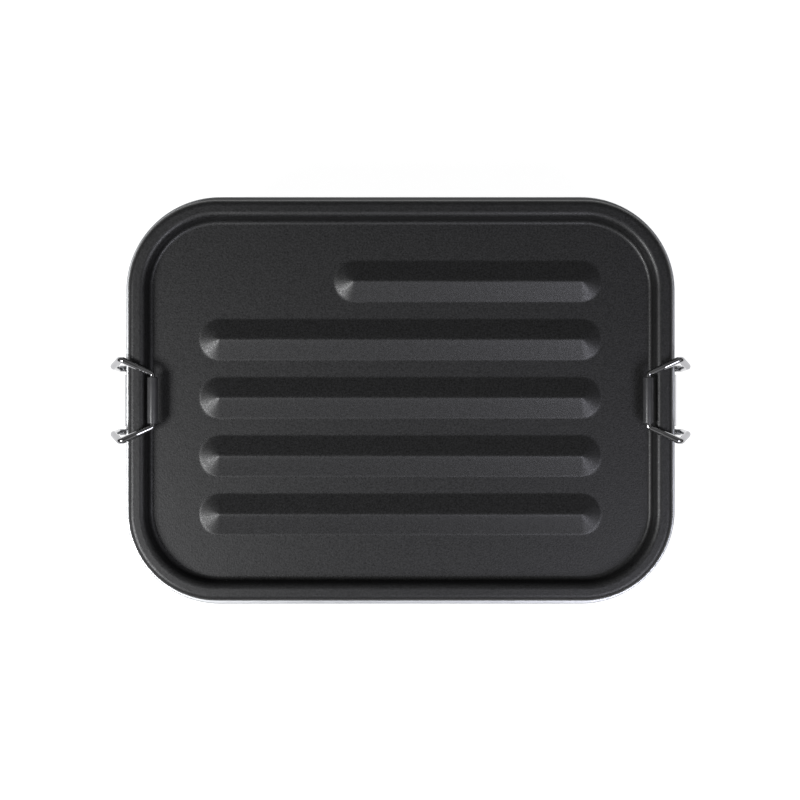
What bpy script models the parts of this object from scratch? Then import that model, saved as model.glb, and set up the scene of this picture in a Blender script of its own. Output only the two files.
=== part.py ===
"""A two-clip metal lunch box: a deep tray, a ribbed lid that drops over it and two wire clips.

The origin is at the middle of the underside, +X runs along the long side and +Z is up.
Lengths are in metres, so MM turns the millimetres that a workshop would use into metres.
"""

import math

import bmesh
import bpy
from mathutils import Matrix, Vector

MM = 0.001

# Outline of the lid, and the heights of its main levels above the underside of the tray.
LID_HALF_X = 98.35 * MM
LID_HALF_Y = 72.35 * MM
LID_CORNER = 32.25 * MM
RIM_TOP = 62.0 * MM
PANEL_DEPTH = 6.2 * MM
SKIRT_DEPTH = 11.7 * MM
LID_SHEET = 0.8 * MM
CORNER_STEPS = 10

# Section of the raised rim, from the outside inwards.
EDGE_ROUND = 2.2 * MM
RIM_END = 4.2 * MM
CREST_ROUND = 2.4 * MM
FOOT_ROUND = 1.7 * MM
WALL_SLOPE = math.radians(82)
ROUND_STEPS = 4

# Five pressed ridges. The first one is short, which leaves a plain field beside it.
RIB_COUNT = 5
RIB_PITCH = 21.13 * MM
RIB_FIELD_Y = 0.95 * MM
RIB_HALF_WIDTH = 7.4 * MM
RIB_HALF_LENGTH = 72.9 * MM
RIB_SHORT_LENGTH = 97.0 * MM
RIB_HEIGHT = 2.6 * MM
RIB_CREST = 0.5 * MM
RIB_STEPS = 24

# The tray: a deep-drawn shell with a pressed fold that stops the lid.
TRAY_SHEET = 0.9 * MM
TRAY_INSET = 2.45 * MM
TRAY_FOOT_ROUND = 9.0 * MM
COLLAR_OUT = 2.25 * MM
COLLAR_TOP = RIM_TOP - SKIRT_DEPTH - 0.3 * MM
LIP_TOP = RIM_TOP - 3.5 * MM
BASE_LAND = 17.0 * MM
BASE_RISE = 1.2 * MM

# The seal in the channel under the rim.
GAP = 0.3 * MM
SEAL_HEIGHT = 2.0 * MM
SEAL_INNER = 4.6 * MM
SEAL_CHAMFER = 0.8 * MM

# A clip: a closed wire loop that turns in a knuckle under the fold.
WIRE_RADIUS = 1.2 * MM
WIRE_HEAD_RADIUS = 0.95 * MM
PIVOT_X = 99.3 * MM
PIVOT_Z = RIM_TOP - 17.0 * MM
ROLLER_X = 89.25 * MM
ROLLER_Z = RIM_TOP + 0.2 * MM
ROLLER_RADIUS = 1.9 * MM
ROLLER_HALF_LENGTH = 8.35 * MM
ROLLER_BORE = 1.05 * MM
ARM_FOOT_Y = 11.7 * MM
ARM_HEEL = Vector((103.9 * MM, ARM_FOOT_Y, RIM_TOP - 16.8 * MM))
ARM_KNEE = Vector((104.1 * MM, 12.3 * MM, RIM_TOP - 5.0 * MM))
ARM_SHOULDER = Vector((100.6 * MM, 14.8 * MM, RIM_TOP + 2.0 * MM))
ARM_DIP = Vector((94.6 * MM, 12.0 * MM, RIM_TOP + 1.55 * MM))
ARM_HEAD_Y = 9.6 * MM
BEND_STEPS = 4

# The hinge plate, its knuckle and its rivets.
PLATE_SHEET = 1.0 * MM
PLATE_HALF_WIDTH = 9.4 * MM
PLATE_TOP = PIVOT_Z + 1.5 * MM
PLATE_BOTTOM = PIVOT_Z - 13.0 * MM
KNUCKLE_RADIUS = 2.5 * MM
KNUCKLE_BORE = 1.3 * MM
RIVET_Y = 5.2 * MM
RIVET_Z = PIVOT_Z - 8.0 * MM
RIVET_RADIUS = 1.3 * MM
RIVET_HEAD_RADIUS = 2.4 * MM
RIVET_HEAD_HEIGHT = 1.0 * MM
WASHER_RADIUS = 3.4 * MM
WASHER_SHEET = 0.6 * MM

UP = Vector((0, 0, 1))


def clear_scene():
    for obj in list(bpy.data.objects):
        bpy.data.objects.remove(obj)


def new_collection(name):
    collection = bpy.data.collections.new(name)
    bpy.context.scene.collection.children.link(collection)
    return collection


def new_material(name, colour, roughness, metallic):
    material = bpy.data.materials.new(name)
    material.use_nodes = True
    shader = material.node_tree.nodes["Principled BSDF"]
    shader.inputs["Base Color"].default_value = (*colour, 1)
    shader.inputs["Roughness"].default_value = roughness
    shader.inputs["Metallic"].default_value = metallic
    return material


def mesh_object(name, bm, collection, material=None):
    """A new object that holds this bmesh, with its faces turned outwards."""
    bmesh.ops.recalc_face_normals(bm, faces=bm.faces)
    mesh = bpy.data.meshes.new(name)
    bm.to_mesh(mesh)
    bm.free()
    obj = bpy.data.objects.new(name, mesh)
    collection.objects.link(obj)
    if material:
        mesh.materials.append(material)
        mesh.shade_smooth()
        mesh.set_sharp_from_angle(angle=math.radians(35))
    return obj


def boolean(obj, other, operation):
    modifier = obj.modifiers.new(f"{operation.lower()} {other.name}", "BOOLEAN")
    modifier.operation = operation
    modifier.object = other


def hide_cutter(obj):
    obj.hide_render = True
    obj.display_type = "WIRE"


def outline(inset, height):
    """Points round the lid's outline, moved inwards by inset: four arcs joined by straight sides."""
    radius = LID_CORNER - inset
    points = []
    for quarter in range(4):
        sign_x = 1 if quarter in (0, 3) else -1
        sign_y = 1 if quarter in (0, 1) else -1
        centre = Vector((sign_x * (LID_HALF_X - LID_CORNER), sign_y * (LID_HALF_Y - LID_CORNER), height))
        for step in range(CORNER_STEPS + 1):
            angle = math.pi / 2 * (quarter + step / CORNER_STEPS)
            points.append(centre + radius * Vector((math.cos(angle), math.sin(angle), 0)))
    return points


def loft(section, closed=False):
    """Skin over the outlines at each (inset, height) of a section. A closed section makes a ring."""
    bm = bmesh.new()
    rings = [[bm.verts.new(point) for point in outline(*station)] for station in section]
    pairs = list(zip(rings, rings[1:]))
    if closed:
        pairs.append((rings[-1], rings[0]))
    for first, second in pairs:
        for i in range(len(first)):
            bm.faces.new((first[i - 1], first[i], second[i], second[i - 1]))
    if not closed:
        bm.faces.new(rings[0])
        bm.faces.new(rings[-1])
    return bm


def arc(centre_inset, centre_height, radius, start, end, steps=ROUND_STEPS):
    """Stations along an arc of a section. Angles run from the inward direction towards +Z."""
    angles = [start + (end - start) * step / steps for step in range(steps + 1)]
    return [(centre_inset + radius * math.cos(a), centre_height + radius * math.sin(a)) for a in angles]


def lid_side(depth):
    """The lid's section from the skirt's edge to the panel, at this depth into the sheet."""
    steep = math.pi / 2 - WALL_SLOPE
    drop = (CREST_ROUND + FOOT_ROUND) * (1 - math.cos(WALL_SLOPE))
    wall = (PANEL_DEPTH - drop) / math.sin(WALL_SLOPE)
    crest_run = (CREST_ROUND + FOOT_ROUND) * math.sin(WALL_SLOPE)
    foot_inset = RIM_END + crest_run + wall * math.cos(WALL_SLOPE)
    edge = arc(EDGE_ROUND, RIM_TOP - EDGE_ROUND, EDGE_ROUND - depth, math.pi, math.pi / 2)
    crest = arc(RIM_END, RIM_TOP - CREST_ROUND, CREST_ROUND - depth, math.pi / 2, steep)
    foot_height = RIM_TOP - PANEL_DEPTH + FOOT_ROUND
    foot = arc(foot_inset, foot_height, FOOT_ROUND + depth, math.pi + steep, 1.5 * math.pi)
    return [(depth, RIM_TOP - SKIRT_DEPTH)] + edge + crest + foot


def ridge(length, lowered, reach):
    """A ridge with conical ends: the hull of two cones. It reaches this far below its foot."""
    slope = (RIB_HALF_WIDTH - RIB_CREST) / RIB_HEIGHT
    bm = bmesh.new()
    middle = RIM_TOP - PANEL_DEPTH + (RIB_HEIGHT - reach) / 2 - lowered
    for side in (-1, 1):
        place = Vector((side * (length / 2 - RIB_HALF_WIDTH), 0, middle))
        bmesh.ops.create_cone(
            bm,
            cap_ends=True,
            segments=RIB_STEPS,
            radius1=RIB_HALF_WIDTH + slope * reach,
            radius2=RIB_CREST,
            depth=RIB_HEIGHT + reach,
            matrix=Matrix.Translation(place),
        )
    hull = bmesh.ops.convex_hull(bm, input=bm.verts)
    inside = set(hull["geom_interior"]) | set(hull["geom_unused"]) | set(hull["geom_holes"])
    bmesh.ops.delete(bm, geom=[v for v in inside if isinstance(v, bmesh.types.BMVert)], context="VERTS")
    bmesh.ops.delete(bm, geom=[f for f in bm.faces if f in inside], context="FACES_ONLY")
    bmesh.ops.dissolve_limit(bm, angle_limit=math.radians(0.5), verts=bm.verts, edges=bm.edges)
    return bm


def make_lid(parts, cutters, material):
    lid = mesh_object("lid", loft(lid_side(LID_SHEET)[::-1] + lid_side(0)), parts, material)
    for index in range(RIB_COUNT):
        length = 2 * RIB_HALF_LENGTH
        if index == 0:
            length = RIB_SHORT_LENGTH
        right_end = RIB_HALF_LENGTH - length / 2
        row = RIB_FIELD_Y + RIB_PITCH * ((RIB_COUNT - 1) / 2 - index)
        crown = mesh_object(f"rib_crown_{index + 1}", ridge(length, 0, LID_SHEET / 2), cutters)
        hollow = mesh_object(f"rib_hollow_{index + 1}", ridge(length, LID_SHEET, LID_SHEET / 2), cutters)
        for cutter, operation in ((crown, "UNION"), (hollow, "DIFFERENCE")):
            cutter.location = (right_end, row, 0)
            hide_cutter(cutter)
            boolean(lid, cutter, operation)
    return lid


def make_seal(parts, material):
    top = RIM_TOP - LID_SHEET - GAP
    section = [
        (LID_SHEET + GAP, top - SEAL_CHAMFER),
        (LID_SHEET + GAP + SEAL_CHAMFER, top),
        (SEAL_INNER - SEAL_CHAMFER, top),
        (SEAL_INNER, top - SEAL_CHAMFER),
        (SEAL_INNER, top - SEAL_HEIGHT),
        (LID_SHEET + GAP, top - SEAL_HEIGHT),
    ]
    return mesh_object("lid_gasket", loft(section, closed=True), parts, material)


def tray_base(depth):
    """The tray's underside and the round into its wall, at this depth into the sheet, middle first."""
    land = TRAY_INSET + BASE_LAND
    ramp = 2 * BASE_RISE
    foot = arc(TRAY_INSET + TRAY_FOOT_ROUND, TRAY_FOOT_ROUND, TRAY_FOOT_ROUND - depth, 1.5 * math.pi, math.pi, 6)
    return [(land + ramp, BASE_RISE + depth), (land, depth)] + foot


def make_tray(parts, cutters, material):
    fold = TRAY_SHEET
    collar = arc(-COLLAR_OUT + fold, COLLAR_TOP - fold, fold, 1.5 * math.pi, math.pi / 2, 4)
    lip = [(TRAY_INSET, LIP_TOP - TRAY_SHEET / 3), (TRAY_INSET + TRAY_SHEET / 3, LIP_TOP)]
    lip += [(TRAY_INSET + 2 * TRAY_SHEET / 3, LIP_TOP), (TRAY_INSET + TRAY_SHEET, LIP_TOP - TRAY_SHEET / 3)]
    under_fold = [(TRAY_INSET, COLLAR_TOP - 2 * fold)]
    over_fold = [(TRAY_INSET, COLLAR_TOP)]
    outside = tray_base(0) + under_fold + collar + over_fold + lip
    tray = mesh_object("tray", loft(outside + tray_base(TRAY_SHEET)[::-1]), parts, material)
    for side in (-1, 1):
        for end in (-1, 1):
            drill = rod(f"rivet_drill_{side}_{end}", RIVET_RADIUS + GAP, 10 * MM, cutters)
            drill.location = (side * (LID_HALF_X - TRAY_INSET), end * RIVET_Y, RIVET_Z)
            drill.rotation_euler = (0, math.pi / 2, 0)
            hide_cutter(drill)
            boolean(tray, drill, "DIFFERENCE")
    return tray


def rod(name, radius, length, collection, segments=20):
    bm = bmesh.new()
    bmesh.ops.create_cone(bm, cap_ends=True, segments=segments, radius1=radius, radius2=radius, depth=length)
    return mesh_object(name, bm, collection)


def rounded(points, radii):
    """The closed path through these points, with each corner turned by an arc of its radius."""
    path = []
    for i, corner in enumerate(points):
        before = (points[i - 1] - corner).normalized()
        after = (points[(i + 1) % len(points)] - corner).normalized()
        half = before.angle(after) / 2
        reach = radii[i] / math.tan(half)
        centre = corner + (before + after).normalized() * radii[i] / math.sin(half)
        start = (corner + before * reach - centre).normalized()
        end = (corner + after * reach - centre).normalized()
        for step in range(BEND_STEPS + 1):
            path.append(centre + radii[i] * start.slerp(end, step / BEND_STEPS))
    return path


def clip_path(side):
    """Corners of one wire loop: pivot bar, heel, knee, shoulder, dip and roller bar, then back again."""
    half = [
        (Vector((PIVOT_X, ARM_FOOT_Y, PIVOT_Z)), 1.6 * MM),
        (ARM_HEEL, 2.4 * MM),
        (ARM_KNEE, 3.0 * MM),
        (ARM_SHOULDER, 1.7 * MM),
        (ARM_DIP, 4.0 * MM),
        (Vector((ROLLER_X, ARM_HEAD_Y, ROLLER_Z)), 1.3 * MM),
    ]
    loop = [(Vector((p.x * side, p.y, p.z)), r) for p, r in half]
    loop += [(Vector((p.x * side, -p.y, p.z)), r) for p, r in reversed(half)]
    return rounded([p for p, r in loop], [r for p, r in loop])


def make_wire(name, side, hinge, parts, material):
    curve = bpy.data.curves.new(name, "CURVE")
    curve.dimensions = "3D"
    curve.bevel_depth = WIRE_RADIUS
    curve.bevel_resolution = 2
    pivot = Vector((side * PIVOT_X, 0, PIVOT_Z))
    path = clip_path(side)
    spline = curve.splines.new("POLY")
    spline.points.add(len(path) - 1)
    for point, place in zip(spline.points, path):
        point.co = (*(place - pivot), 1)
        thinner = (abs(place.x) < ARM_DIP.x - 1 * MM) * (1 - WIRE_HEAD_RADIUS / WIRE_RADIUS)
        point.radius = 1 - thinner
    spline.use_cyclic_u = True
    curve.materials.append(material)
    wire = bpy.data.objects.new(name, curve)
    parts.objects.link(wire)
    wire.parent = hinge
    return wire


def turned(name, profile, parts, material, steps=24):
    """A ring turned about its own Z axis from a closed profile of (radius, height) points."""
    bm = bmesh.new()
    verts = [bm.verts.new((radius, 0, height)) for radius, height in profile]
    for i in range(len(verts)):
        bm.edges.new((verts[i - 1], verts[i]))
    mesh = bpy.data.meshes.new(name)
    bm.to_mesh(mesh)
    bm.free()
    obj = bpy.data.objects.new(name, mesh)
    parts.objects.link(obj)
    mesh.materials.append(material)
    screw = obj.modifiers.new("turn", "SCREW")
    screw.steps = steps
    screw.render_steps = steps
    screw.use_merge_vertices = True
    screw.merge_threshold = 0.00001
    return obj


def make_roller(name, side, hinge, parts, material):
    soft = 0.4 * MM
    top = ROLLER_HALF_LENGTH
    profile = [
        (ROLLER_BORE, top),
        (ROLLER_RADIUS - soft, top),
        (ROLLER_RADIUS, top - soft),
        (ROLLER_RADIUS, soft - top),
        (ROLLER_RADIUS - soft, -top),
        (ROLLER_BORE, -top),
    ]
    roller = turned(name, profile, parts, material)
    roller.parent = hinge
    roller.location = (side * (ROLLER_X - PIVOT_X), 0, ROLLER_Z - PIVOT_Z)
    roller.rotation_euler = (math.pi / 2, 0, 0)
    return roller


def make_plate(name, side, parts, cutters, material):
    """A strap with a rolled knuckle on its top edge."""
    wall = LID_HALF_X - TRAY_INSET + GAP
    height = PLATE_TOP - PLATE_BOTTOM
    bm = bmesh.new()
    bmesh.ops.create_cube(bm, size=1)
    bmesh.ops.scale(bm, vec=(PLATE_SHEET, 2 * PLATE_HALF_WIDTH, height), verts=bm.verts)
    plate = mesh_object(name, bm, parts, material)
    middle = Vector((side * (wall + PLATE_SHEET / 2), 0, (PLATE_TOP + PLATE_BOTTOM) / 2))
    plate.location = middle
    corners = plate.modifiers.new("round corners", "BEVEL")
    corners.width = 0.25 * MM
    corners.segments = 1
    knuckle = rod(f"{name}_knuckle", KNUCKLE_RADIUS, 2 * PLATE_HALF_WIDTH - 0.8 * MM, cutters, 24)
    bore = rod(f"{name}_bore", KNUCKLE_BORE, 3 * PLATE_HALF_WIDTH, cutters, 24)
    for cutter, operation in ((knuckle, "UNION"), (bore, "DIFFERENCE")):
        cutter.location = (side * PIVOT_X, 0, PIVOT_Z)
        cutter.rotation_euler = (math.pi / 2, 0, 0)
        hide_cutter(cutter)
        boolean(plate, cutter, operation)
    for end in (-1, 1):
        drill = rod(f"{name}_drill_{end}", RIVET_RADIUS + GAP, 10 * MM, cutters)
        drill.location = (middle.x, end * RIVET_Y, RIVET_Z)
        drill.rotation_euler = (0, math.pi / 2, 0)
        hide_cutter(drill)
        boolean(plate, drill, "DIFFERENCE")
    return plate


def make_rivet(name, side, y, parts, material):
    """A rivet with a domed head outside the plate and a flat tail inside the tray."""
    head = PLATE_SHEET + 2 * GAP
    tail = TRAY_SHEET + WASHER_SHEET + 2 * GAP
    dome = [
        (RIVET_HEAD_RADIUS * math.cos(a), head + RIVET_HEAD_HEIGHT * math.sin(a))
        for a in (math.radians(degrees) for degrees in (90, 60, 30, 0))
    ]
    stem = [(RIVET_RADIUS, head), (RIVET_RADIUS, -tail), (RIVET_HEAD_RADIUS, -tail)]
    base = [(RIVET_HEAD_RADIUS, -tail - RIVET_HEAD_HEIGHT / 2), (0, -tail - RIVET_HEAD_HEIGHT / 2)]
    bm = bmesh.new()
    verts = [bm.verts.new((max(radius, 0), 0, height)) for radius, height in dome + stem + base]
    for first, second in zip(verts, verts[1:]):
        bm.edges.new((first, second))
    bmesh.ops.spin(
        bm, geom=bm.verts[:] + bm.edges[:], axis=UP, cent=(0, 0, 0), angle=2 * math.pi, steps=16,
        use_merge=True,
    )
    bmesh.ops.remove_doubles(bm, verts=bm.verts, dist=0.00001)
    rivet = mesh_object(name, bm, parts, material)
    rivet.location = (side * (LID_HALF_X - TRAY_INSET), y, RIVET_Z)
    rivet.rotation_euler = (0, side * math.pi / 2, 0)
    return rivet


def make_washer(name, side, y, parts, material):
    half = WASHER_SHEET / 2
    bore = RIVET_RADIUS + GAP
    profile = [(bore, half), (WASHER_RADIUS, half), (WASHER_RADIUS, -half), (bore, -half)]
    washer = turned(name, profile, parts, material, 20)
    inset = TRAY_INSET + TRAY_SHEET + GAP + half
    washer.location = (side * (LID_HALF_X - inset), y, RIVET_Z)
    washer.rotation_euler = (0, math.pi / 2, 0)
    return washer


def main():
    clear_scene()
    parts = new_collection("metal_lunch_box")
    cutters = new_collection("cutters")
    black = new_material("black_powder_coat", (0.03, 0.03, 0.032), 0.5, 0)
    bare = new_material("satin_aluminium", (0.75, 0.76, 0.77), 0.35, 1)
    steel = new_material("polished_steel", (0.72, 0.72, 0.73), 0.15, 1)
    plastic = new_material("dark_plastic", (0.06, 0.06, 0.065), 0.45, 0)
    rubber = new_material("grey_silicone", (0.3, 0.3, 0.31), 0.7, 0)
    make_tray(parts, cutters, bare)
    make_lid(parts, cutters, black)
    make_seal(parts, rubber)
    for side, word in ((-1, "left"), (1, "right")):
        hinge = bpy.data.objects.new(f"clip_axis_{word}", None)
        parts.objects.link(hinge)
        hinge.location = (side * PIVOT_X, 0, PIVOT_Z)
        make_wire(f"clip_wire_{word}", side, hinge, parts, steel)
        make_roller(f"clip_roller_{word}", side, hinge, parts, plastic)
        make_plate(f"hinge_plate_{word}", side, parts, cutters, steel)
        for end, letter in ((-1, "a"), (1, "b")):
            make_rivet(f"rivet_{word}_{letter}", side, end * RIVET_Y, parts, bare)
            make_washer(f"rivet_washer_{word}_{letter}", side, end * RIVET_Y, parts, steel)


main()
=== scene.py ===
"""Looks of a two-clip metal lunch box: black powder-coated lid, bare drawn tray, polished wire clips.

Every new piece is a surface worked out as whole numpy arrays: a profile carried along a path,
or a height over a grid. All lengths are metres in the box's own frame.
"""

import math

import bmesh
import bpy
import numpy as np
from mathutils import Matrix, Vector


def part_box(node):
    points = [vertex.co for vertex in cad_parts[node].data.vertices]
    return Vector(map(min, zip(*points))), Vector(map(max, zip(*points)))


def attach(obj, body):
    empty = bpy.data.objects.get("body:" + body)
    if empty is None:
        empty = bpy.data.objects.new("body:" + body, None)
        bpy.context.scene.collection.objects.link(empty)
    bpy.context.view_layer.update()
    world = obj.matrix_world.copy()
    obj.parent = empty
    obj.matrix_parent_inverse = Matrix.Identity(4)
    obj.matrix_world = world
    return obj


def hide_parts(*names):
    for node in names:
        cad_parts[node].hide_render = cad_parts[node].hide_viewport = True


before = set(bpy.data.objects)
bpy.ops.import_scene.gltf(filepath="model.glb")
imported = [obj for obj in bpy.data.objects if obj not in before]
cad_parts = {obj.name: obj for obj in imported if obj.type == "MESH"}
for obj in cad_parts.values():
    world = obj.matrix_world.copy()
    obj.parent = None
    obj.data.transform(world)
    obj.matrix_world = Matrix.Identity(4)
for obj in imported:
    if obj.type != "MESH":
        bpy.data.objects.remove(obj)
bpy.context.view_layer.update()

MM = 0.001
# Clearance between pieces that touch on the real box.
GAP = 0.3 * MM
# How far from a bend a point lies that keeps the flat beside it flat when it is shaded smooth.
HEM = 0.1 * MM
# Edges sharper than this stay sharp.
CREASE = math.radians(40)
SIDES = ((-1, "left"), (1, "right"))
ENDS = ((-1, "a"), (1, "b"))

lid_low, lid_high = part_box("lid")
tray_low, tray_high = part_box("tray")
roller_low, roller_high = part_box("clip_roller_right")

# The lid's outline and levels.
HALF_X, HALF_Y, RIM_TOP = lid_high
CORNER = 32.25 * MM
SKIRT_END = lid_low.z
PANEL_DEPTH = 6.2 * MM
LID_SHEET = 0.8 * MM

# Section of the rim, measured inwards from the outline.
EDGE_ROUND = 2.2 * MM
RIM_END = 4.2 * MM
CREST_ROUND = 2.4 * MM
FOOT_ROUND = 1.7 * MM
WALL_SLOPE = math.radians(82)

# Pressed ribs.
RIB_PITCH = 21.13 * MM
RIB_ROWS = [0.95 * MM + RIB_PITCH * (2 - row) for row in range(5)]
RIB_HALF_WIDTH = 7.4 * MM
RIB_HALF_LENGTH = 72.9 * MM
RIB_SHORT_LENGTH = 97.0 * MM
RIB_HEIGHT = 2.6 * MM
RIB_CREST = 0.45 * MM
RIB_FOOT = 0.35 * MM

# The tray.
TRAY_SHEET = 0.9 * MM
TRAY_INSET = 2.45 * MM
TRAY_FOOT = 9.0 * MM
TRAY_WALL = HALF_X - TRAY_INSET
COLLAR_OUT = tray_high.x - HALF_X
COLLAR_TOP = SKIRT_END - GAP
LIP_TOP = tray_high.z
COLLAR_BEND = 0.4 * MM
NOSE_FLATTENING = 0.45
BASE_LAND = 17.0 * MM
BASE_RAMP = 2.4 * MM
BASE_RISE = 1.2 * MM

# The fine seam inside the tray, where its fold closes.
SEAM_HALF = 0.35 * MM
SEAM_MOUTH = 0.12 * MM
SEAM_DEPTH = 0.18 * MM

# The seal under the rim.
SEAL_THICKNESS = 2.0 * MM
SEAL_INNER = 4.6 * MM
SEAL_ROUND = 0.35 * MM
SEAL_SLANT = 0.8 * MM
GROOVE_HALF = 0.8 * MM
GROOVE_DEPTH = 0.3 * MM

# Clips and hinges, as on the right-hand side.
WIRE_RADIUS = 1.2 * MM
WIRE_HEAD_RADIUS = 0.95 * MM
# The wire thickens from here outwards, over this run.
TAPER_START = 92.0 * MM
TAPER_RUN = 4.0 * MM
PIVOT = np.array([99.3 * MM, 0.0, RIM_TOP - 17.0 * MM])
ROLLER = np.array([(roller_low.x + roller_high.x) / 2, 0.0, (roller_low.z + roller_high.z) / 2])
ROLLER_RADIUS = (roller_high.z - roller_low.z) / 2
ROLLER_HALF = roller_high.y
ROLLER_BORE = 1.05 * MM
ROLLER_ROUND = 0.35 * MM
STRAP_SHEET = 1.0 * MM
STRAP_HALF = 9.4 * MM
STRAP_BOTTOM = PIVOT[2] - 13.0 * MM
STRAP_TOP = PIVOT[2] - 6.0 * MM
STRAP_CORNER = 2.5 * MM
STRAP_EDGE = 0.12 * MM
KNUCKLE = 2.5 * MM
KNUCKLE_BORE = 1.3 * MM
CURL_END = math.radians(-140)
RIVET_HEAD_RADIUS = 2.4 * MM
RIVET_HEAD_HEIGHT = 1.3 * MM
RIVET_STEM_RADIUS = 1.3 * MM
RIVET_TAIL_ROUND = 0.2 * MM
WASHER_THICKNESS = 0.6 * MM
WASHER_RADIUS = 3.4 * MM
WASHER_BORE = 1.6 * MM
WASHER_ROUND = 0.15 * MM
RIVET_Y = 5.2 * MM
RIVET_Z = PIVOT[2] - 8.0 * MM

# Studio. The dome's stops are (height, grey), and its strength goes from the front to the back.
CAMERA_HEIGHT = 680 * MM
CAMERA_OFFSET = (-0.18 * MM, 0.13 * MM)
FLOOR_HALF = 4000 * MM
FLOOR_LEVEL = -0.2 * MM
DOME = ((0.0, 0.05), (0.3, 0.1), (0.6, 0.29), (0.8, 0.28), (0.94, 0.12))
DOME_SIDES = (1.1, 0.6)


# ---------------------------------------------------------------- mesh tools


def grid_faces(rows, columns, wrap_rows=False, wrap_columns=False, first=0):
    """Quads between neighbours on a grid of points that is numbered row by row."""
    row = np.arange(rows if wrap_rows else rows - 1)
    column = np.arange(columns if wrap_columns else columns - 1)
    row, column = np.meshgrid(row, column, indexing="ij")
    below, beside = (row + 1) % rows, (column + 1) % columns
    this_row = [row * columns + column, row * columns + beside]
    next_row = [below * columns + beside, below * columns + column]
    return np.stack(this_row + next_row, axis=-1).reshape(-1, 4) + first


def piece(name, points, faces, slot, body, node, closed=True):
    """One finished object at the origin. A closed one has its doubles merged and its faces turned out."""
    mesh = bpy.data.meshes.new(name)
    mesh.from_pydata(np.asarray(points).reshape(-1, 3).tolist(), [], np.asarray(faces).tolist())
    if closed:
        bm = bmesh.new()
        bm.from_mesh(mesh)
        bmesh.ops.remove_doubles(bm, verts=bm.verts, dist=1e-7)
        bmesh.ops.recalc_face_normals(bm, faces=bm.faces)
        bm.to_mesh(mesh)
        bm.free()
    mesh.shade_smooth()
    mesh.set_sharp_from_angle(angle=CREASE)
    mesh.materials.append(FINISHES[slot])
    obj = bpy.data.objects.new(name, mesh)
    bpy.context.scene.collection.objects.link(obj)
    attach(obj, body)
    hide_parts(node)
    return obj


def arc(centre, radius, start, end, steps):
    """Points on an arc of a section, as an array of (inset, height). Angles run from inwards to up."""
    angle = np.linspace(start, end, steps + 1)
    return np.stack([centre[0] + radius * np.cos(angle), centre[1] + radius * np.sin(angle)], axis=1)


def outline(inset, corner_steps=32, side_steps=6):
    """Points and outward normals round a rounded rectangle: each corner an arc, each side a straight run."""
    turn = np.linspace(0, math.pi / 2, corner_steps + 1)
    corners, normals = [], []
    for quarter in range(4):
        angle = turn + quarter * math.pi / 2
        normal = np.stack([np.cos(angle), np.sin(angle)], axis=1)
        middle = math.pi / 4 + quarter * math.pi / 2
        sign = np.sign([math.cos(middle), math.sin(middle)])
        centre = sign * (HALF_X - CORNER, HALF_Y - CORNER)
        corners.append(centre + (CORNER - inset) * normal)
        normals.append(normal)
    points, facing = [], []
    for quarter in range(4):
        share = np.linspace(0, 1, side_steps + 1)[1:-1, None]
        start, end = corners[quarter][-1], corners[(quarter + 1) % 4][0]
        points += [corners[quarter], start + share * (end - start)]
        facing += [normals[quarter], np.repeat(normals[quarter][-1:], side_steps - 1, axis=0)]
    return np.concatenate(points), np.concatenate(facing)


def swept(section, base_inset, closed_section):
    """A section of (inset, height) carried round the outline: each point moves out along the normal."""
    path, normal = outline(base_inset)
    reach = base_inset - section[:, 0]
    flat = path[None] + reach[:, None, None] * normal[None]
    height = np.broadcast_to(section[:, 1, None, None], (*flat.shape[:2], 1))
    points = np.concatenate([flat, height], axis=2)
    return points, grid_faces(len(section), len(path), closed_section, True)


def revolved(profile, steps, place, side=1, wrap=True):
    """A (radius, along) profile turned about X, then put at place. Radius zero gives a pole."""
    angle = np.arange(steps) * 2 * math.pi / steps
    radius, along = profile[:, 0, None], profile[:, 1, None]
    ones = np.ones_like(angle)[None]
    points = np.stack([side * along * ones, radius * np.cos(angle), radius * np.sin(angle)], axis=-1)
    return points + np.asarray(place), grid_faces(len(profile), steps, wrap, True)


# ---------------------------------------------------------------- materials


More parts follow.
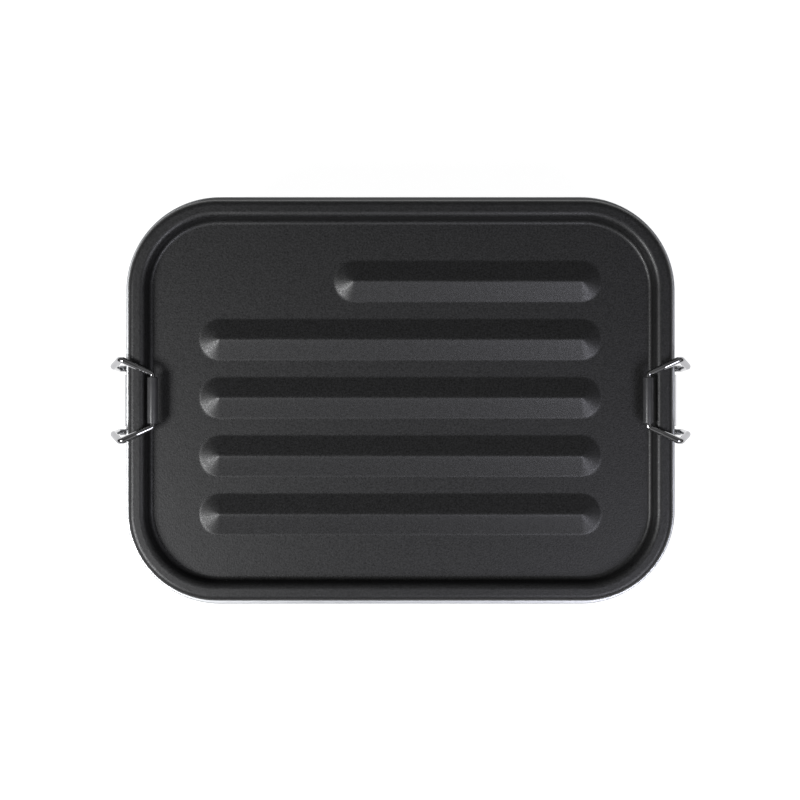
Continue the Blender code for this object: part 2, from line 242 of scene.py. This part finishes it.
class Finish:
    """A Principled material whose nodes are added one by one."""

    def __init__(self, name, colour, roughness, metallic=0.0):
        self.material = bpy.data.materials.new(name)
        self.material.use_nodes = True
        self.tree = self.material.node_tree
        self.shader = self.tree.nodes["Principled BSDF"]
        self.shader.inputs["Base Color"].default_value = (*colour, 1)
        self.shader.inputs["Roughness"].default_value = roughness
        self.shader.inputs["Metallic"].default_value = metallic
        self.place = self.add("ShaderNodeTexCoord").outputs["Object"]
        self.normal = None

    def add(self, kind, **settings):
        node = self.tree.nodes.new(kind)
        for key, value in settings.items():
            setattr(node, key, value)
        return node

    def link(self, source, target):
        self.tree.links.new(source, target)

    def noise(self, scale, detail=2.0, stretch=(1, 1, 1)):
        """Noise over the object's own coordinates, with features of about 1/scale metres."""
        mapping = self.add("ShaderNodeMapping")
        mapping.inputs["Scale"].default_value = stretch
        self.link(self.place, mapping.inputs["Vector"])
        noise = self.add("ShaderNodeTexNoise")
        noise.inputs["Scale"].default_value = scale
        noise.inputs["Detail"].default_value = detail
        self.link(mapping.outputs["Vector"], noise.inputs["Vector"])
        return noise.outputs["Fac"]

    def ramp(self, source, low, high):
        """Maps the middle of a noise, 0.3 to 0.7, to the range from low to high."""
        node = self.add("ShaderNodeMapRange")
        node.inputs["From Min"].default_value = 0.3
        node.inputs["From Max"].default_value = 0.7
        node.inputs["To Min"].default_value = low
        node.inputs["To Max"].default_value = high
        self.link(source, node.inputs["Value"])
        return node.outputs["Result"]

    def tint(self, source, dark, light):
        """Colour between dark and light, as the noise says."""
        mix = self.add("ShaderNodeMix", data_type="RGBA")
        mix.inputs["A"].default_value = (*dark, 1)
        mix.inputs["B"].default_value = (*light, 1)
        self.link(self.ramp(source, 0, 1), mix.inputs["Factor"])
        self.link(mix.outputs["Result"], self.shader.inputs["Base Color"])

    def vary_roughness(self, source, low, high):
        self.link(self.ramp(source, low, high), self.shader.inputs["Roughness"])

    def bump(self, source, depth):
        """Raises the surface by depth metres where the noise is high. Bumps add up."""
        node = self.add("ShaderNodeBump")
        node.inputs["Distance"].default_value = depth
        self.link(source, node.inputs["Height"])
        if self.normal:
            self.link(self.normal, node.inputs["Normal"])
        self.normal = node.outputs["Normal"]
        self.link(self.normal, self.shader.inputs["Normal"])


def black_coat():
    """Fine-textured powder coat: sandy grains half a millimetre across over a slow orange peel."""
    finish = Finish("black_coat_finish", (0.0095, 0.0095, 0.0097), 0.43)
    grain = finish.noise(1700, 1.0)
    finish.tint(grain, (0.003, 0.003, 0.003), (0.016, 0.016, 0.0164))
    finish.vary_roughness(finish.noise(1500, 1.0), 0.37, 0.49)
    finish.bump(finish.noise(260, 1.0), 0.03 * MM)
    finish.bump(grain, 0.036 * MM)
    return finish.material


def bare_aluminium():
    """Drawn sheet: faint lines up the walls from the die, with a slow cloudiness."""
    finish = Finish("bare_aluminium_finish", (0.54, 0.55, 0.56), 0.46, 1.0)
    drawn = finish.noise(900, 3.0, (1, 1, 0.04))
    finish.tint(finish.noise(25, 3.0), (0.5, 0.51, 0.52), (0.58, 0.59, 0.6))
    finish.vary_roughness(drawn, 0.41, 0.52)
    finish.bump(drawn, 0.008 * MM)
    return finish.material


def polished_wire():
    """Polished stainless wire with fine drawing lines and a few rubbed places."""
    finish = Finish("polished_wire_finish", (0.43, 0.43, 0.44), 0.07, 1.0)
    lines = finish.noise(1500, 2.0, (1, 0.08, 0.08))
    finish.tint(finish.noise(120, 2.0), (0.39, 0.39, 0.4), (0.47, 0.47, 0.48))
    finish.vary_roughness(lines, 0.04, 0.1)
    return finish.material


def dark_plastic():
    """Extruded sleeve: smooth, with hardly visible lines along its length."""
    finish = Finish("dark_plastic_finish", (0.043, 0.043, 0.0445), 0.36)
    lines = finish.noise(1800, 2.0, (1, 0.03, 1))
    finish.tint(finish.noise(400, 2.0), (0.037, 0.037, 0.0385), (0.049, 0.049, 0.0505))
    finish.vary_roughness(lines, 0.3, 0.42)
    finish.bump(lines, 0.006 * MM)
    return finish.material


def silicone():
    """Matt moulded silicone with a dusty bloom."""
    finish = Finish("silicone_finish", (0.3, 0.3, 0.31), 0.68)
    bloom = finish.noise(220, 4.0)
    finish.tint(bloom, (0.26, 0.26, 0.27), (0.34, 0.34, 0.35))
    finish.vary_roughness(bloom, 0.6, 0.76)
    finish.bump(finish.noise(2500, 2.0), 0.01 * MM)
    return finish.material


def pressed_steel():
    """Brushed strip, with its grain along the strap's width."""
    finish = Finish("pressed_steel_finish", (0.6, 0.6, 0.61), 0.3, 1.0)
    brushed = finish.noise(2200, 3.0, (1, 0.05, 1))
    finish.tint(brushed, (0.54, 0.54, 0.55), (0.66, 0.66, 0.67))
    finish.vary_roughness(brushed, 0.22, 0.38)
    finish.bump(brushed, 0.006 * MM)
    return finish.material


def rivet_aluminium():
    """Set rivet: slightly dimpled by the tool."""
    finish = Finish("rivet_aluminium_finish", (0.78, 0.78, 0.79), 0.28, 1.0)
    dimples = finish.noise(900, 2.0)
    finish.tint(finish.noise(300, 2.0), (0.7, 0.7, 0.71), (0.82, 0.82, 0.83))
    finish.vary_roughness(dimples, 0.22, 0.36)
    finish.bump(dimples, 0.02 * MM)
    return finish.material


FINISHES = {
    "black_coat": black_coat(),
    "bare_aluminium": bare_aluminium(),
    "polished_wire": polished_wire(),
    "dark_plastic": dark_plastic(),
    "silicone": silicone(),
    "pressed_steel": pressed_steel(),
    "rivet_aluminium": rivet_aluminium(),
}


# ---------------------------------------------------------------- lid


def rim_section():
    """The lid's outer surface from the panel's edge out over the rim and down the skirt: three arcs joined
    by straight runs. A point close to each end of a run keeps the run flat when it is shaded smooth."""
    steep = math.pi / 2 - WALL_SLOPE
    bend = CREST_ROUND + FOOT_ROUND
    wall = (PANEL_DEPTH - bend * (1 - math.cos(WALL_SLOPE))) / math.sin(WALL_SLOPE)
    foot_inset = RIM_END + bend * math.sin(WALL_SLOPE) + wall * math.cos(WALL_SLOPE)
    foot_centre = (foot_inset, RIM_TOP - PANEL_DEPTH + FOOT_ROUND)
    foot = arc(foot_centre, FOOT_ROUND, 1.5 * math.pi, math.pi + steep, 7)
    crest = arc((RIM_END, RIM_TOP - CREST_ROUND), CREST_ROUND, steep, math.pi / 2, 8)
    edge = arc((EDGE_ROUND, RIM_TOP - EDGE_ROUND), EDGE_ROUND, math.pi / 2, math.pi, 9)
    skirt = np.array([[0.0, SKIRT_END]])
    wall_run = straight_run(foot[-1], crest[0])
    rim_run = straight_run(crest[-1], edge[0])
    skirt_run = straight_run(edge[-1], skirt[0])
    return np.concatenate([foot, wall_run, crest, rim_run, edge, skirt_run, skirt])


def straight_run(start, end):
    """The two points of a straight run that lie a hem in from its ends."""
    along = (end - start) / np.linalg.norm(end - start) * HEM
    return np.array([start + along, end - along])


def rib_height(x, y):
    """Height of the ribs over the panel. Each is a cone's height over the distance to the rib's middle
    line: full at the line, nothing at half the rib's width. A hyperbola rounds the crest and a parabola
    rounds the foot."""
    height = np.zeros_like(x)
    rounded = math.hypot(RIB_HALF_WIDTH, RIB_CREST) - RIB_CREST
    blend = RIB_FOOT / RIB_HALF_WIDTH
    right = RIB_HALF_LENGTH - RIB_HALF_WIDTH
    for index, row in enumerate(RIB_ROWS):
        length = RIB_SHORT_LENGTH if index == 0 else 2 * RIB_HALF_LENGTH
        left = RIB_HALF_LENGTH - length + RIB_HALF_WIDTH
        past = np.maximum(np.maximum(left - x, x - right), 0)
        away = np.hypot(past, y - row)
        share = 1 - (np.hypot(away, RIB_CREST) - RIB_CREST) / rounded
        soft = np.where(np.abs(share) < blend, (share + blend) ** 2 / (4 * blend), np.maximum(share, 0))
        height = np.maximum(height, RIB_HEIGHT * soft)
    return height


def between(start, end, steps):
    """Places from start to just before end."""
    return np.linspace(start, end, steps, endpoint=False)


def panel_lines(half_x, half_y):
    """Grid lines across the panel, close together where a rib bends."""
    end = RIB_HALF_LENGTH
    tip = RIB_HALF_LENGTH - RIB_SHORT_LENGTH
    near, round_end = 0.8 * MM, 8.2 * MM
    across = [[-half_x], between(HEM - half_x, -end - near, 12), between(-end - near, -end + round_end, 30)]
    across += [between(-end + round_end, tip - near, 5), between(tip - near, tip + round_end, 28)]
    across += [between(tip + round_end, end - round_end, 6), between(end - round_end, end + near, 30)]
    across += [np.linspace(end + near, half_x - HEM, 13), [half_x]]
    half = RIB_HALF_WIDTH
    crest = np.linspace(0, 0.75 * MM, 4)
    slope = np.linspace(1.2 * MM, half - 0.9 * MM, 8)
    foot = np.array([-0.5, -0.25, 0, 0.25, 0.5]) * MM + half
    away = np.concatenate([crest, slope, foot])
    rows = np.concatenate([row + np.concatenate([-away[:0:-1], away]) for row in RIB_ROWS])
    gaps = [np.linspace(low + half, low + RIB_PITCH - half, 5)[1:-1] for low in RIB_ROWS[1:]]
    margins = [between(sign * (half_y - HEM), edge, 12) for sign, edge in ((-1, min(rows)), (1, max(rows)))]
    margins += [[-half_y], [half_y]]
    return np.concatenate(across), np.sort(np.concatenate([rows, *gaps, *margins]))


def panel(half_x, half_y, radius):
    """Grid over a rounded rectangle, as (x, y) arrays. In each corner square, p and q from 0 to 1 become
    p * sqrt(1 - q*q/2) and q * sqrt(1 - p*p/2), which turns the square into a quarter disc."""
    across, up = panel_lines(half_x, half_y)
    x, y = np.meshgrid(across, up, indexing="ij")
    p = np.clip((np.abs(x) - (half_x - radius)) / radius, 0, 1)
    q = np.clip((np.abs(y) - (half_y - radius)) / radius, 0, 1)
    round_x = np.sign(x) * (half_x - radius + radius * p * np.sqrt(1 - q * q / 2))
    round_y = np.sign(y) * (half_y - radius + radius * q * np.sqrt(1 - p * p / 2))
    return np.where(p > 0, round_x, x), np.where(q > 0, round_y, y)


def make_lid():
    """The panel's grid, and the rim's section carried outwards from the ring of its border points."""
    section = rim_section()
    inset = section[0, 0]
    half_x, half_y, radius = HALF_X - inset, HALF_Y - inset, CORNER - inset
    x, y = panel(half_x, half_y, radius)
    floor = RIM_TOP - PANEL_DEPTH
    top = np.stack([x, y, floor + rib_height(x, y)], axis=-1)
    columns, rows = x.shape
    number = np.arange(x.size).reshape(x.shape)
    ring = np.concatenate([number[:-1, 0], number[-1, :-1], number[:0:-1, -1], number[0, :0:-1]])
    border = top.reshape(-1, 3)[ring]
    core = np.array([half_x - radius, half_y - radius])
    facing = border[:, :2] - np.clip(border[:, :2], -core, core)
    facing /= np.linalg.norm(facing, axis=1)[:, None]
    reach = inset - section[1:, 0]
    flat = border[None, :, :2] + reach[:, None, None] * facing[None]
    height = np.broadcast_to(section[1:, 1, None, None], (*flat.shape[:2], 1))
    rim = np.concatenate([flat, height], axis=2).reshape(-1, 3)
    points = np.concatenate([top.reshape(-1, 3), rim])
    first = np.stack([ring, np.roll(ring, -1)], axis=1)
    start = x.size + np.arange(len(ring))
    second = np.stack([np.roll(start, -1), start], axis=1)
    joint = np.concatenate([first, second], axis=1)[:, ::-1]
    faces = np.concatenate([
        grid_faces(columns, rows)[:, ::-1],
        joint,
        grid_faces(len(section) - 1, len(ring), False, True, x.size)[:, ::-1],
    ])
    skin = piece("lid_skin", points, faces, "black_coat", "lid", "lid", closed=False)
    sheet = skin.modifiers.new("sheet", "SOLIDIFY")
    sheet.thickness = LID_SHEET
    sheet.offset = -1


def make_seal():
    """A soft ring with a rounded section and a shallow groove where the tray's lip presses."""
    low = RIM_TOP - LID_SHEET - GAP - SEAL_THICKNESS
    high = low + SEAL_THICKNESS
    left, right = LID_SHEET + GAP, SEAL_INNER
    share = np.linspace(-1, 1, 9)
    across = TRAY_INSET + TRAY_SHEET / 2 + share * GROOVE_HALF
    groove = np.stack([across, low + GROOVE_DEPTH * (1 - share**2) ** 2], axis=1)
    section = np.concatenate([
        arc((left + SEAL_ROUND, low + SEAL_ROUND), SEAL_ROUND, math.pi, 1.5 * math.pi, 5),
        groove,
        arc((right - SEAL_ROUND, low + SEAL_ROUND), SEAL_ROUND, -math.pi / 2, 0, 5),
        arc((right - SEAL_SLANT, high - SEAL_SLANT), SEAL_SLANT, 0, math.pi / 2, 7),
        arc((left + SEAL_SLANT, high - SEAL_SLANT), SEAL_SLANT, math.pi / 2, math.pi, 7),
    ])
    points, faces = swept(section, 0.0, True)
    piece("seal_ring", points, faces, "silicone", "lid", "lid_gasket")


# ---------------------------------------------------------------- tray


def tray_floor(depth):
    """Raised middle, ramp, flat land and foot of one face of the tray, at this depth into the sheet."""
    land = TRAY_INSET + BASE_LAND
    ramp = np.linspace(1, 0, 9)
    ease = ramp * ramp * (3 - 2 * ramp)
    slope = np.stack([land + BASE_RAMP * ramp, depth + BASE_RISE * ease], axis=1)
    foot = arc((TRAY_INSET + TRAY_FOOT, TRAY_FOOT), TRAY_FOOT - depth, 1.5 * math.pi, math.pi, 14)
    return np.concatenate([slope, foot])


def drawn_in(ring, steps=6):
    """Smaller copies of a ring, from its middle outwards."""
    share = np.linspace(0, 1, steps + 1)[:-1, None, None]
    return ring[None] * np.concatenate([share, share, np.ones_like(share)], axis=2)


def make_tray():
    """One section from the middle of the underside, out round the fold, over the lip and back inside."""
    wall = TRAY_INSET
    inner = TRAY_INSET + TRAY_SHEET
    fold = TRAY_SHEET
    bend = wall - COLLAR_BEND
    under = arc((bend, COLLAR_TOP - 2 * fold - COLLAR_BEND), COLLAR_BEND, 0, math.pi / 2, 5)
    nose = arc((0.0, COLLAR_TOP - fold), fold, 1.5 * math.pi, math.pi / 2, 12)
    nose[:, 0] = (nose[:, 0] + fold) * NOSE_FLATTENING - COLLAR_OUT
    over = arc((bend, COLLAR_TOP + COLLAR_BEND), COLLAR_BEND, -math.pi / 2, 0, 5)
    half = TRAY_SHEET / 2
    lip = arc((wall + half, LIP_TOP - half), half, math.pi, 0, 10)
    seam_rise = np.array([SEAM_HALF, SEAM_MOUTH, 0, -SEAM_MOUTH, -SEAM_HALF])
    seam_depth = np.array([0, 0, SEAM_DEPTH, 0, 0])
    seam = np.stack([inner - seam_depth, COLLAR_TOP - fold + seam_rise], axis=1)
    section = np.concatenate([tray_floor(0), under, nose, over, lip, seam, tray_floor(TRAY_SHEET)[::-1]])
    points, faces = swept(section, BASE_LAND, False)
    points = np.concatenate([drawn_in(points[0]), points, drawn_in(points[-1])[::-1]])
    faces = grid_faces(*points.shape[:2], False, True)
    piece("tray_shell", points, faces, "bare_aluminium", "tray", "tray")


# ---------------------------------------------------------------- clips and hinges


def bent_wire():
    """The loop's middle line: straight runs joined by arcs, each arc found from its corner, its two
    directions and its radius, then turned through by spherical interpolation."""
    # The corners of one half, in millimetres, with heights from the rim's top, then each one's bend radius.
    foot = (PIVOT[0] / MM, 11.7, (PIVOT[2] - RIM_TOP) / MM)
    heel, knee = (103.9, 11.7, -16.8), (104.1, 12.3, -5.0)
    shoulder, dip = (100.6, 14.8, 2.0), (94.6, 12.0, 1.55)
    head = (ROLLER[0] / MM, 9.6, (ROLLER[2] - RIM_TOP) / MM)
    half = np.array([foot, heel, knee, shoulder, dip, head]) * MM + np.array([0, 0, RIM_TOP])
    radii = np.array([1.6, 2.4, 3.0, 1.7, 4.0, 1.3]) * MM
    corner = np.concatenate([half, half[::-1] * (1, -1, 1)])
    radius = np.concatenate([radii, radii[::-1]])[:, None]
    before = np.roll(corner, 1, axis=0) - corner
    after = np.roll(corner, -1, axis=0) - corner
    before /= np.linalg.norm(before, axis=1)[:, None]
    after /= np.linalg.norm(after, axis=1)[:, None]
    opening = np.arccos(np.sum(before * after, axis=1))[:, None] / 2
    middle = before + after
    centre = corner + middle / np.linalg.norm(middle, axis=1)[:, None] * radius / np.sin(opening)
    start = (corner + before * radius / np.tan(opening) - centre) / radius
    end = (corner + after * radius / np.tan(opening) - centre) / radius
    swing = math.pi - 2 * opening
    share = np.linspace(0, 1, 11)[None, :, None]
    swing = swing[:, :, None]
    turn = np.sin((1 - share) * swing) * start[:, None] + np.sin(share * swing) * end[:, None]
    return (centre[:, None] + radius[:, None] * turn / np.sin(swing)).reshape(-1, 3)


def tube(path, radius, sides=20):
    """A round section carried along a closed path. It is set out from the path's middle, which is never
    in line with the path."""
    ahead = np.roll(path, -1, axis=0) - np.roll(path, 1, axis=0)
    ahead /= np.linalg.norm(ahead, axis=1)[:, None]
    inward = path.mean(axis=0) - path
    inward -= np.sum(inward * ahead, axis=1)[:, None] * ahead
    inward /= np.linalg.norm(inward, axis=1)[:, None]
    across = np.cross(ahead, inward)
    angle = np.arange(sides) * 2 * math.pi / sides
    ring = np.cos(angle)[None, :, None] * inward[:, None] + np.sin(angle)[None, :, None] * across[:, None]
    return path[:, None] + radius[:, None, None] * ring, grid_faces(len(path), sides, True, True)


def half_turn(points, side):
    """The left clip is the right one turned half round about Z."""
    return np.asarray(points) * (side, side, 1)


def make_clip(side, word):
    """The wire loop, thinner at its head, and the sleeve that turns on the head."""
    path = bent_wire()
    share = np.clip((path[:, 0] - TAPER_START) / TAPER_RUN, 0, 1)
    radius = WIRE_HEAD_RADIUS + (WIRE_RADIUS - WIRE_HEAD_RADIUS) * share * share * (3 - 2 * share)
    points, faces = tube(path, radius)
    loop = half_turn(points, side)
    piece(f"clip_loop_{word}", loop, faces, "polished_wire", f"clip_{word}", f"clip_wire_{word}")
    end = ROLLER_HALF - ROLLER_ROUND
    profile = np.concatenate([
        np.array([[ROLLER_BORE, -ROLLER_HALF]]),
        arc((ROLLER_RADIUS - ROLLER_ROUND, -end), ROLLER_ROUND, -math.pi / 2, 0, 5),
        arc((ROLLER_RADIUS - ROLLER_ROUND, end), ROLLER_ROUND, 0, math.pi / 2, 5),
        np.array([[ROLLER_BORE, ROLLER_HALF]]),
    ])
    sleeve, faces = revolved(profile, 40, (0, 0, 0))
    sleeve = half_turn(sleeve[..., [1, 0, 2]] + ROLLER, side)
    piece(f"roller_sleeve_{word}", sleeve, faces, "dark_plastic", f"roller_{word}", f"clip_roller_{word}")


def strap_section(steps=32):
    """Strap and knuckle as two lines of (x, z): up the back and round the curl, and up the face and
    round its bore."""
    back, face = TRAY_WALL + GAP, TRAY_WALL + GAP + STRAP_SHEET
    x, z = PIVOT[0], PIVOT[2]
    angle = np.linspace(math.pi, CURL_END, steps)
    round_out = np.stack([x + KNUCKLE * np.cos(angle), z + KNUCKLE * np.sin(angle)], axis=1)
    round_in = np.stack([x + KNUCKLE_BORE * np.cos(angle), z + KNUCKLE_BORE * np.sin(angle)], axis=1)
    outer = np.concatenate([[[back, STRAP_BOTTOM], [back, STRAP_TOP]], round_out])
    inner = np.concatenate([[[face, STRAP_BOTTOM], [face, STRAP_TOP]], round_in])
    return outer, inner


def make_hinge(side, word):
    """The section carried along Y. Near each end its lower edge rises on an arc, which rounds the corners."""
    outer, inner = strap_section()
    line = np.concatenate([outer, inner[::-1]])
    count = len(line)
    lower = np.zeros(count)
    lower[[0, -1]] = 1
    angle = np.linspace(0, math.pi / 2, 9)
    half = STRAP_HALF - STRAP_CORNER + STRAP_CORNER * np.sin(angle)
    y = np.concatenate([-half[::-1], half])
    lift = STRAP_CORNER * (1 - np.cos(np.concatenate([angle[::-1], angle])))
    points = np.empty((len(y), count, 3))
    points[..., 0] = line[None, :, 0]
    points[..., 1] = y[:, None]
    points[..., 2] = line[None, :, 1] + lift[:, None] * lower[None]
    step = np.arange(len(outer) - 1)
    cap = np.stack([step, step + 1, count - 2 - step, count - 1 - step], axis=1)
    faces = np.concatenate([grid_faces(len(y), count, False, True), cap, cap + (len(y) - 1) * count])
    strap = half_turn(points, side)
    obj = piece(f"hinge_strap_{word}", strap, faces, "pressed_steel", "tray", f"hinge_plate_{word}")
    edge = obj.modifiers.new("edge", "BEVEL")
    edge.width = STRAP_EDGE
    edge.segments = 2
    edge.limit_method = "ANGLE"
    edge.angle_limit = math.radians(50)


def make_rivet(side, word, end, letter):
    """A domed head outside, a stem, and a flat tail inside that holds the washer."""
    head = STRAP_SHEET + GAP
    tail = TRAY_SHEET + GAP + WASHER_THICKNESS
    tail_centre = (RIVET_HEAD_RADIUS - RIVET_TAIL_ROUND, -tail - RIVET_TAIL_ROUND)
    dome = np.linspace(0, math.pi / 2, 9)
    profile = np.concatenate([
        np.stack([RIVET_HEAD_RADIUS * np.sin(dome), head + RIVET_HEAD_HEIGHT * np.cos(dome)], axis=1),
        np.array([[RIVET_STEM_RADIUS, head], [RIVET_STEM_RADIUS, -tail]]),
        arc(tail_centre, RIVET_TAIL_ROUND, math.pi / 2, -math.pi / 2, 5),
        np.array([[0.0, -tail - 2 * RIVET_TAIL_ROUND]]),
    ])
    place = (side * TRAY_WALL, end * RIVET_Y, RIVET_Z)
    points, faces = revolved(profile, 32, place, side, wrap=False)
    name = f"rivet_{word}_{letter}"
    piece(f"set_{name}", points, faces, "rivet_aluminium", "tray", name)


def make_washer(side, word, end, letter):
    """A flat ring against the inside of the tray's wall."""
    half = WASHER_THICKNESS / 2
    edge = WASHER_RADIUS - WASHER_ROUND
    profile = np.concatenate([
        np.array([[WASHER_BORE, -half]]),
        arc((edge, WASHER_ROUND - half), WASHER_ROUND, -math.pi / 2, 0, 3),
        arc((edge, half - WASHER_ROUND), WASHER_ROUND, 0, math.pi / 2, 3),
        np.array([[WASHER_BORE, half]]),
    ])
    place = (side * (TRAY_WALL - TRAY_SHEET - half), end * RIVET_Y, RIVET_Z)
    points, faces = revolved(profile, 32, place)
    name = f"rivet_washer_{word}_{letter}"
    piece(f"ring_{name}", points, faces, "pressed_steel", "tray", name)


# ---------------------------------------------------------------- studio


def make_floor():
    """A plain pale floor that glows a little, so that soft shadows stay light."""
    finish = Finish("pale_floor", (0.25, 0.25, 0.25), 0.9)
    finish.shader.inputs["Emission Color"].default_value = (1, 1, 1, 1)
    finish.shader.inputs["Emission Strength"].default_value = 0.95
    square = ((-1, -1), (1, -1), (1, 1), (-1, 1))
    corners = [(x * FLOOR_HALF, y * FLOOR_HALF, FLOOR_LEVEL) for x, y in square]
    mesh = bpy.data.meshes.new("floor")
    mesh.from_pydata(corners, [], [(0, 1, 2, 3)])
    mesh.materials.append(finish.material)
    floor = bpy.data.objects.new("floor", mesh)
    bpy.context.scene.collection.objects.link(floor)


def soft_light(name, azimuth, elevation, distance, size, power, colour):
    """A square softbox that faces the lid from this direction. Azimuth 0 is +X and 90 is +Y."""
    light = bpy.data.lights.new(name, "AREA")
    light.shape = "SQUARE"
    light.size = size
    light.energy = power
    light.color = colour
    across, up = math.radians(azimuth), math.radians(elevation)
    obj = bpy.data.objects.new(name, light)
    obj.location = (
        distance * math.cos(up) * math.cos(across),
        distance * math.cos(up) * math.sin(across),
        RIM_TOP + distance * math.sin(up),
    )
    obj.rotation_euler = (math.pi / 2 - up, 0, across + math.pi / 2)
    bpy.context.scene.collection.objects.link(obj)


def make_world():
    """A soft grey dome: dark straight up, where the camera hangs, lighter round it, and dark at the
    horizon. It is lighter on the side that the softboxes stand on."""
    world = bpy.data.worlds.new("studio")
    world.use_nodes = True
    tree = world.node_tree
    place = tree.nodes.new("ShaderNodeTexCoord")
    split = tree.nodes.new("ShaderNodeSeparateXYZ")
    tree.links.new(place.outputs["Generated"], split.inputs["Vector"])
    dome = tree.nodes.new("ShaderNodeValToRGB")
    dome.color_ramp.interpolation = "EASE"
    stops = dome.color_ramp.elements
    for place_up, grey in DOME:
        stop = stops.new(place_up)
        stop.color = (grey, grey, grey, 1)
    # The ramp's own black and white stops are its first and last.
    stops.remove(stops[0])
    stops.remove(stops[-1])
    tree.links.new(split.outputs["Z"], dome.inputs["Fac"])
    tree.links.new(dome.outputs["Color"], tree.nodes["Background"].inputs["Color"])
    side = tree.nodes.new("ShaderNodeMapRange")
    side.inputs["From Min"].default_value = -0.6
    side.inputs["From Max"].default_value = 0.6
    side.inputs["To Min"].default_value = DOME_SIDES[0]
    side.inputs["To Max"].default_value = DOME_SIDES[1]
    tree.links.new(split.outputs["Y"], side.inputs["Value"])
    tree.links.new(side.outputs["Result"], tree.nodes["Background"].inputs["Strength"])
    bpy.context.scene.world = world


def make_studio():
    """Dome, floor and two softboxes, seen through a plain view transform."""
    make_world()
    make_floor()
    bpy.context.scene.view_settings.view_transform = "Standard"
    neutral, cool = (1.0, 1.005, 1.015), (1.0, 1.0, 1.12)
    soft_light("softbox_left", 204.7, 47.3, distance=0.606, size=0.17, power=3.08, colour=neutral)
    soft_light("softbox_right", 314.4, 50.7, distance=0.713, size=0.276, power=1.95, colour=cool)


def make_camera():
    """Looks straight down from a hair to the left of the lid's middle and a hair behind it."""
    data = bpy.data.cameras.new("camera")
    data.lens = 85
    data.sensor_width = 36
    camera = bpy.data.objects.new("camera", data)
    camera.location = (*CAMERA_OFFSET, RIM_TOP + CAMERA_HEIGHT)
    bpy.context.scene.collection.objects.link(camera)
    bpy.context.scene.camera = camera


def main():
    make_lid()
    make_seal()
    make_tray()
    for side, word in SIDES:
        make_clip(side, word)
        make_hinge(side, word)
        for end, letter in ENDS:
            make_rivet(side, word, end, letter)
            make_washer(side, word, end, letter)
    make_studio()
    make_camera()


main()
